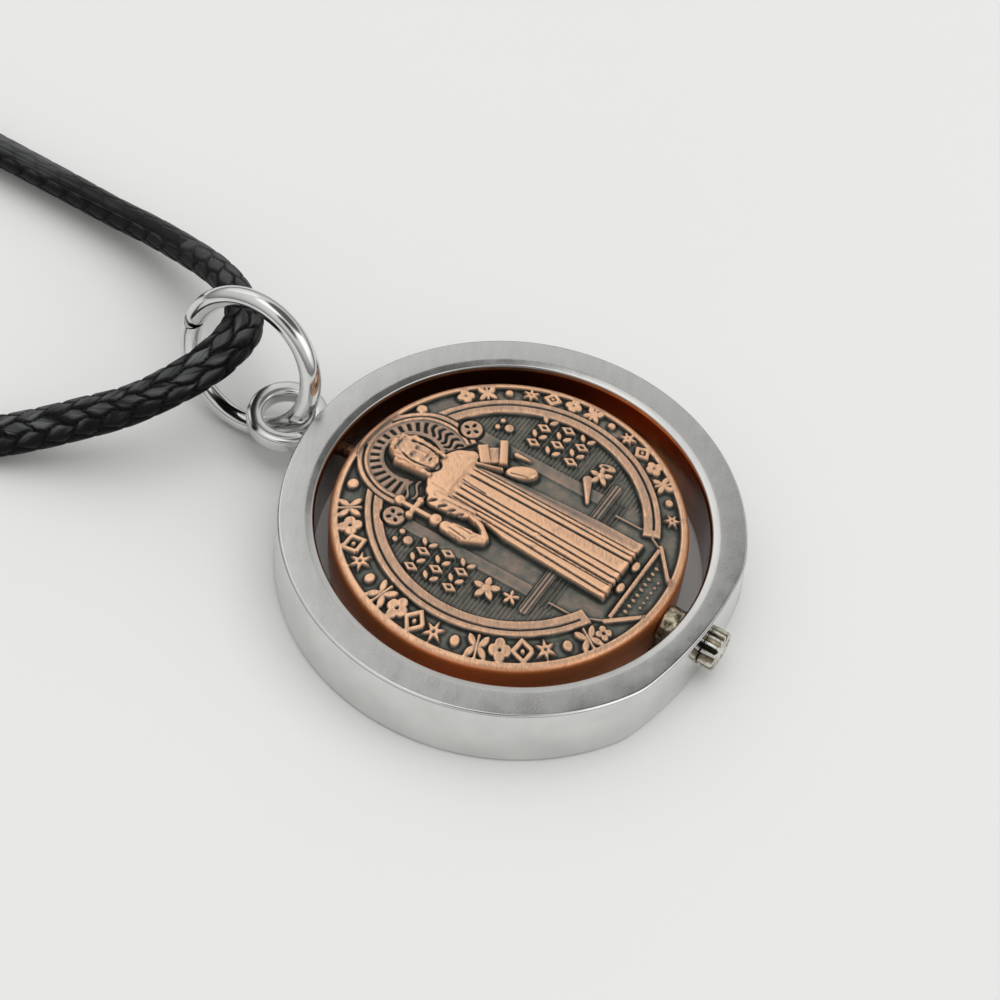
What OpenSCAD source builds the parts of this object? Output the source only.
/* [Case ring] */
// Outer diameter at the top face
case_d = 26; // [25:0.1:28]
// Extra diameter of the outer wall at its foot
case_flare = 0.4; // [0:0.1:0.8]
// Bore that the medal turns in
case_bore_d = 21.9; // [21.4:0.1:22.4]
// Height of the case ring
case_h = 4.05; // [3.8:0.05:5]

/* [Eye and jump ring] */
// Distance of the eye's centre from the case's centre
eye_y = 15.1; // [15.1:0.05:15.3]
// Diameter of the eye's hole
eye_hole_d = 2.8; // [2.7:0.05:3]
// Width of the eye's metal
eye_w = 0.9; // [0.8:0.05:1]
// Height of the eye's metal
eye_h = 1.1; // [0.9:0.05:1.1]
// Wire diameter of the jump ring
jump_wire_d = 1.24; // [1.1:0.02:1.24]
// Radius of the jump ring's centreline
jump_r = 4.1; // [4.05:0.01:4.15]
// Lean of the jump ring from upright
jump_lean = 15.4; // [14:0.2:17]
// Opening left by the saw cut, in degrees of the ring
jump_cut = 3; // [2:0.5:6]

/* [Medal] */
// Diameter of the medal
medal_d = 20; // [19.4:0.1:20.2]
// Height of the medal's upper rim above the floor
medal_top = 3.7; // [3.5:0.05:3.8]
// Thickness between the two rims
medal_t = 3.3; // [2.8:0.1:3.3]
// Depth of the field below the rim
field_depth = 0.22; // [0.1:0.02:0.3]
// Height of the low relief above the rim
relief_h = 0.25; // [0.1:0.05:0.3]
// Number of rays in the halo
ray_count = 30; // [24:2:40]

/* [Spindle] */
// Diameter of the stem that turns in the case
stem_d = 1.2; // [1:0.05:1.4]
// Diameter of the collar between medal and case
collar_d = 2.2; // [1.8:0.1:2.4]
// Diameter of the pivot pin
pivot_d = 0.9; // [0.7:0.05:1]
// Radial running clearance of stem and pin in the case
run_gap = 0.05; // [0.02:0.01:0.08]
// Diameter of the knurled crown
crown_d = 2.4; // [2:0.1:3]
// Length of the crown
crown_l = 0.8; // [0.7:0.05:1.2]
// Number of flutes round the crown
flute_count = 20; // [12:1:24]

/* [Cord and clasp] */
// Broad side of the oval cord
cord_w = 2.5; // [2.4:0.05:2.5]
// Narrow side of the oval cord
cord_t = 1.7; // [1.6:0.05:1.7]
// Diameter of the clasp barrel
clasp_d = 4.6; // [4.2:0.1:4.6]
// Length of the clasp barrel
clasp_l = 13; // [12:0.5:14]

/* [Hidden] */
$fn = 96;

case_r = case_d / 2;
bore_r = case_bore_d / 2;
medal_r = medal_d / 2;
medal_y = 0.2;
medal_foot = medal_top - medal_t;
axis_z = medal_top - medal_t / 2;
field_top = medal_top - field_depth;
field_foot = medal_foot + field_depth;
plate_top = medal_top - 0.04;
relief_top = medal_top + relief_h;
eye_z = 2.15;
fit_gap = 0.02;
over = 0.5;

tenon_d = 1.0;
tenon_l = 1.6;
flat_y = case_r - 0.45;
flat_r = 22.8;
crown_start = flat_y + fit_gap;
stem_reach = crown_start + 0.5;
pivot_reach = case_r - 1.0;

jump_x = 0.4;
jump_y = 18;
jump_cut_at = 76;
jump_z = jump_wire_d / 2 + jump_r * cos(jump_lean);

clasp_x = -60;
clasp_y = 224;
clasp_turn = atan2(2, 5);
socket_d = 2.9;
socket_l = 3.4;

// Centreline of the cord from the clasp round to the clasp again: x, y, z and the section's roll in degrees.
// The first half is the strand that lies flat, then the bend inside the jump ring and the strand on its edge.
cord_route = [
    [-63.75, 222.5, 2.3, 0], [-67.5, 221, 2.3, 0], [-78, 212, 1.2, 0], [-87, 197, 0.9, 0],
    [-91, 181, 0.9, 0], [-90, 166, 0.9, 0], [-85, 153, 0.9, 0], [-70, 128, 0.9, 0],
    [-50, 94.5, 0.9, 0], [-30, 61, 0.9, 0], [-18, 41, 0.9, 0], [-14, 34.4, 0.95, 0],
    [-10, 27.9, 1.3, 0], [-8.8, 26, 2.1, 0], [-7.5, 24.1, 3, 0], [-6, 21.9, 4.2, 0],
    [-4.3, 20.2, 5.4, 5], [-2.3, 19.1, 6.1, 10], [-0.3, 18.8, 6.3, 20], [1, 19, 6.2, 30],
    [2.1, 19.6, 6, 35], [3.1, 20.5, 5.5, 40], [4.1, 21.7, 5, 45], [5.6, 24.3, 3.8, 50],
    [6.6, 27.3, 2.8, 50], [7.2, 30, 2.1, 50], [7.5, 33, 1.6, 50], [7.7, 37, 1.4, 45],
    [7.8, 42, 1.3, 40], [7.9, 60, 1.2, 25], [8, 90, 0.95, 0], [8, 140, 0.95, 0],
    [7.3, 172, 0.9, 0], [3.5, 196, 0.9, 0], [-6, 211, 0.9, 0], [-20, 221.5, 0.9, 0],
    [-36, 227, 1, 0], [-44, 228, 1.4, 0], [-52.5, 227, 2.3, 0], [-56.25, 225.5, 2.3, 0]
];
cord_sides = 8;
near_span = 6;
near_step = 3.1;
far_step = 9.8;

// Outline of the robe with its shoulders, from the hem on the left round to the hem on the right: x, y
robe_outline = [
    [-2.05, -7.15], [-1.9, -4.4], [-1.7, -2.4], [-1.5, -0.4], [-1.3, 1.6], [-1.6, 2.8], [-1.85, 3.8],
    [-1.45, 4.7], [-0.4, 5.3], [1.3, 5.3], [2.3, 4.75], [2.6, 3.9], [2.05, 2.8], [1.95, 1.6], [2.25, -2.4],
    [2.42, -7.15]
];
robe_folds = [-1.05, -0.65, -0.2, 0.15, 0.95, 1.35, 1.7];
halo_x = 0.5;
halo_y = 6.35;
halo_r = 3.5;
ring_x = 0.3;
ring_r = 8.28;
ring_groove_r = 7.8;
ring_inner_r = 7.15;

// Points of an arc in the drawing plane, from one angle to another
function arc(cx, cy, r, from, to, steps) = [for (i = [0 : steps])
    let (a = from + (to - from) * i / steps) [cx + r * cos(a), cy + r * sin(a)]];

// Rectangle with rounded corners, given its centre, size and corner radius
function rounded_box(cx, cy, w, h, r) = let (x = w / 2 - r, y = h / 2 - r) concat(
    arc(cx + x, cy + y, r, 0, 90, 4), arc(cx - x, cy + y, r, 90, 180, 4),
    arc(cx - x, cy - y, r, 180, 270, 4), arc(cx + x, cy - y, r, 270, 360, 4));

function xyz(p) = [p[0], p[1], p[2]];

// Slope of the route at one of its points, with each side weighted by the other side's length
function slope(q, i) = i == 0 ? (q[1] - q[0]) / norm(xyz(q[1]) - xyz(q[0]))
    : i == len(q) - 1 ? (q[i] - q[i - 1]) / norm(xyz(q[i]) - xyz(q[i - 1]))
    : let (a = norm(xyz(q[i]) - xyz(q[i - 1])), b = norm(xyz(q[i + 1]) - xyz(q[i])))
        ((q[i] - q[i - 1]) * b / a + (q[i + 1] - q[i]) * a / b) / (a + b);

// Smooth stations along the route, each with its place and roll
function stations(q) = [for (i = [0 : len(q) - 2])
    let (d = norm(xyz(q[i + 1]) - xyz(q[i])), n = ceil(d / (d < near_span ? near_step : far_step)),
         m0 = slope(q, i) * d, m1 = slope(q, i + 1) * d, last = i == len(q) - 2 ? n : n - 1)
    for (k = [0 : last]) let (t = k / n)
        (2 * pow(t, 3) - 3 * pow(t, 2) + 1) * q[i] + (pow(t, 3) - 2 * pow(t, 2) + t) * m0
        + (3 * pow(t, 2) - 2 * pow(t, 3)) * q[i + 1] + (pow(t, 3) - pow(t, 2)) * m1];

function unit(v) = v / norm(v);

// One oval cross-section of the cord, with a flat side down at a roll of zero
function cord_section(s, i) = let (
    ahead = unit(xyz(s[min(i + 1, len(s) - 1)]) - xyz(s[max(i - 1, 0)])),
    side = unit(cross([0, 0, 1], ahead)), rise = cross(ahead, side), roll = s[i][3],
    broad = cos(roll) * side + sin(roll) * rise, narrow = cos(roll) * rise - sin(roll) * side,
    grow = 1 / cos(180 / cord_sides))
    [for (k = [0 : cord_sides - 1]) let (a = 360 * (k + 0.5) / cord_sides)
        xyz(s[i]) + grow * (cord_w / 2 * cos(a) * broad + cord_t / 2 * sin(a) * narrow)];

// Turned ring, flattened a little on the crown's side
module case_body() {
    intersection() {
        turned_ring();
        translate([0, flat_r - flat_y, -over]) cylinder(r = flat_r, h = case_h + 2 * over, $fn = 360);
    }
}

module turned_ring() {
    rotate_extrude() polygon([
        [bore_r, 0.2], [bore_r + 0.2, 0], [case_r + case_flare / 2 - 0.15, 0],
        [case_r + case_flare / 2, 0.15], [case_r, case_h - 0.13], [case_r - 0.13, case_h],
        [bore_r + 0.55, case_h], [bore_r + 0.12, case_h - 0.1], [bore_r, case_h - 0.25]
    ]);
}

module eye_body() {
    translate([0, eye_y, 0]) rotate_extrude()
        polygon(rounded_box(eye_hole_d / 2 + eye_w / 2, eye_z, eye_w, eye_h, 0.35));
}

module case_ring() {
    color("silver") difference() {
        union() {
            case_body();
            eye_body();
        }
        translate([0, -bore_r + over, axis_z]) rotate([90, 0, 0])
            cylinder(d = stem_d + 2 * run_gap, h = case_r - bore_r + 2 * over);
        translate([0, bore_r - over, axis_z]) rotate([-90, 0, 0])
            cylinder(d = pivot_d + 2 * run_gap, h = pivot_reach - bore_r + over + run_gap);
    }
}

module medal_disc() {
    rotate_extrude() polygon(concat(
        [[0, field_foot], [9.25, field_foot], [9.4, medal_foot]],
        arc(medal_r - 0.35, medal_foot + 0.35, 0.35, -90, 0, 4),
        arc(medal_r - 0.35, medal_top - 0.35, 0.35, 0, 90, 4),
        [[9.4, medal_top], [9.25, field_top], [8.3, plate_top], [0, plate_top]]));
}

// Raised flat shape on the front of the medal
module raised(top = relief_top) {
    translate([0, 0, field_top]) linear_extrude(top - field_top) children();
}

module border_rings() {
    translate([ring_x, 0]) difference() {
        raised() difference() {
            circle(ring_r);
            circle(ring_inner_r);
        }
        translate([0, 0, relief_top - 0.15]) linear_extrude(over) difference() {
            circle(ring_groove_r + 0.07);
            circle(ring_groove_r - 0.07);
        }
    }
}

module halo() {
    translate([halo_x, halo_y]) {
        raised() difference() {
            circle(halo_r);
            circle(halo_r - 0.7);
        }
        raised(plate_top + 0.12) for (i = [0 : ray_count - 1])
            rotate(360 * i / ray_count) translate([1.8, -0.08]) square([1.2, 0.16]);
    }
}

// A post with a round head, a base and a foot below it
module column(x) {
    raised(plate_top + 0.2) translate([x, 0]) {
        translate([-0.36, -3.4]) square([0.72, 8.3]);
        translate([-0.9, -3.75]) square([1.8, 0.7]);
        translate([-0.7, -4.3]) square([1.4, 0.3]);
    }
    raised(plate_top + 0.25) translate([x, 5.1]) circle(0.66);
}

module held_cross(x, y) {
    raised(relief_top + 0.1) translate([x, y]) {
        translate([-0.13, -2]) square([0.26, 2.7]);
        translate([-0.6, -0.13]) square([1.2, 0.26]);
        translate([0, 0.75]) circle(0.28);
        translate([-0.6, 0]) circle(0.2);
        translate([0.6, 0]) circle(0.2);
    }
}

module book(x, y) {
    raised(relief_top + 0.2) translate([x, y]) rotate(30) for (side = [-0.62, 0.02])
        translate([-0.9, side]) square([1.8, 0.6]);
}

module hands() {
    for (p = [[-2.6, 1.7], [2.85, 0.9]]) raised(relief_top + 0.2) translate(p) rotate(p[0] < 0 ? 12 : -12) {
        circle(0.62);
        translate([-0.62, 0]) square([1.24, 1.1]);
    }
}

module robe() {
    difference() {
        raised(relief_top + 0.3) polygon(robe_outline);
        for (x = robe_folds) translate([x - 0.05, -7, relief_top + 0.12]) cube([0.1, 10.5, over]);
    }
    for (x = [-0.55, 1.2]) raised(relief_top) translate([x, -7.25]) circle(0.3);
}

// Head with a rounded cap of hair and a short beard, half sunk in the field
module head() {
    translate([halo_x, halo_y + 0.45, relief_top - 0.35]) sphere(0.95);
    translate([halo_x, halo_y + 0.85, relief_top - 0.45]) sphere(1.05);
    translate([halo_x, halo_y - 0.25, relief_top - 0.15]) sphere(0.55);
}

module base_line() {
    raised() translate([-2.9, -8.05]) square([5.8, 0.3]);
    for (x = [-3.3, 3.3]) raised() translate([x, -8.2]) circle(0.3);
}

// Plain raised cross inside a ring on the back of the medal
module back_cross() {
    translate([0, 0, medal_foot + 0.02]) linear_extrude(field_depth + 0.1) {
        translate([-6.6, -0.8]) square([13.2, 1.6]);
        translate([-0.8, -6.6]) square([1.6, 13.2]);
        difference() {
            circle(8.28);
            circle(7.4);
        }
    }
}

module medal() {
    color("peru") difference() {
        translate([0, medal_y, 0]) {
            medal_disc();
            border_rings();
            halo();
            column(-3.6);
            column(4);
            held_cross(-2.6, 4.7);
            book(3.2, 2.95);
            hands();
            robe();
            head();
            base_line();
            back_cross();
        }
        translate([0, medal_y - medal_r + tenon_l, axis_z]) rotate([90, 0, 0])
            cylinder(d = tenon_d + 2 * fit_gap, h = tenon_l + over);
        translate([0, medal_y + medal_r - tenon_l, axis_z]) rotate([-90, 0, 0])
            cylinder(d = pivot_d + 2 * fit_gap, h = tenon_l + over);
    }
}

module stem() {
    collar_far = bore_r - 0.08;
    collar_near = medal_r - medal_y + fit_gap;
    color("darkkhaki") translate([0, 0, axis_z]) rotate([90, 0, 0]) {
        translate([0, 0, medal_r - medal_y - tenon_l + fit_gap]) cylinder(d = tenon_d, h = tenon_l);
        translate([0, 0, collar_near]) cylinder(d = collar_d, h = collar_far - collar_near);
        translate([0, 0, collar_far - 0.01]) cylinder(d = stem_d, h = stem_reach - collar_far);
    }
}

module pivot_pin() {
    color("peru") translate([0, medal_y + medal_r - tenon_l + fit_gap, axis_z]) rotate([-90, 0, 0])
        cylinder(d = pivot_d, h = pivot_reach - medal_r - medal_y + tenon_l - fit_gap - run_gap);
}

module crown() {
    color("gainsboro") translate([0, -crown_start, axis_z]) rotate([90, 0, 0]) difference() {
        cylinder(d = crown_d, h = crown_l);
        for (i = [0 : flute_count - 1]) rotate(360 * (i + 0.5) / flute_count)
            translate([crown_d / 2 + 0.04, 0, -over]) cylinder(d = 0.26, h = crown_l + 2 * over, $fn = 16);
        translate([0, 0, -over]) cylinder(d = stem_d + 2 * fit_gap, h = over + 0.52);
    }
}

module jump_ring() {
    color("silver") translate([jump_x, jump_y, jump_z]) rotate([0, jump_lean - 90, 0])
        rotate(jump_cut_at + jump_cut / 2) rotate_extrude(angle = 360 - jump_cut)
        translate([jump_r, 0]) circle(d = jump_wire_d);
}

module cord() {
    s = stations(cord_route);
    n = len(s);
    points = [for (i = [0 : n - 1]) for (p = cord_section(s, i)) p];
    sides = [for (i = [0 : n - 2]) for (k = [0 : cord_sides - 1])
        let (a = i * cord_sides + k, b = i * cord_sides + (k + 1) % cord_sides)
        for (f = [[a, b + cord_sides, b], [a, a + cord_sides, b + cord_sides]]) f];
    start = [for (k = [0 : cord_sides - 1]) k];
    end = [for (k = [cord_sides - 1 : -1 : 0]) (n - 1) * cord_sides + k];
    color("dimgray") polyhedron(points, concat([start], sides, [end]), convexity = 6);
}

module clasp() {
    color("silver") translate([clasp_x, clasp_y, clasp_d / 2]) rotate([0, 90, clasp_turn]) difference() {
        rotate_extrude() polygon(concat([[0, -clasp_l / 2]],
            arc(clasp_d / 2 - 0.5, -clasp_l / 2 + 0.5, 0.5, -90, 0, 4),
            arc(clasp_d / 2 - 0.5, clasp_l / 2 - 0.5, 0.5, 0, 90, 4), [[0, clasp_l / 2]]));
        for (end = [-1, 1]) translate([0, 0, end * (clasp_l / 2 + (over - socket_l) / 2)])
            cylinder(d = socket_d, h = socket_l + over, center = true);
    }
}

case_ring();
medal();
stem();
pivot_pin();
crown();
jump_ring();
cord();
clasp();
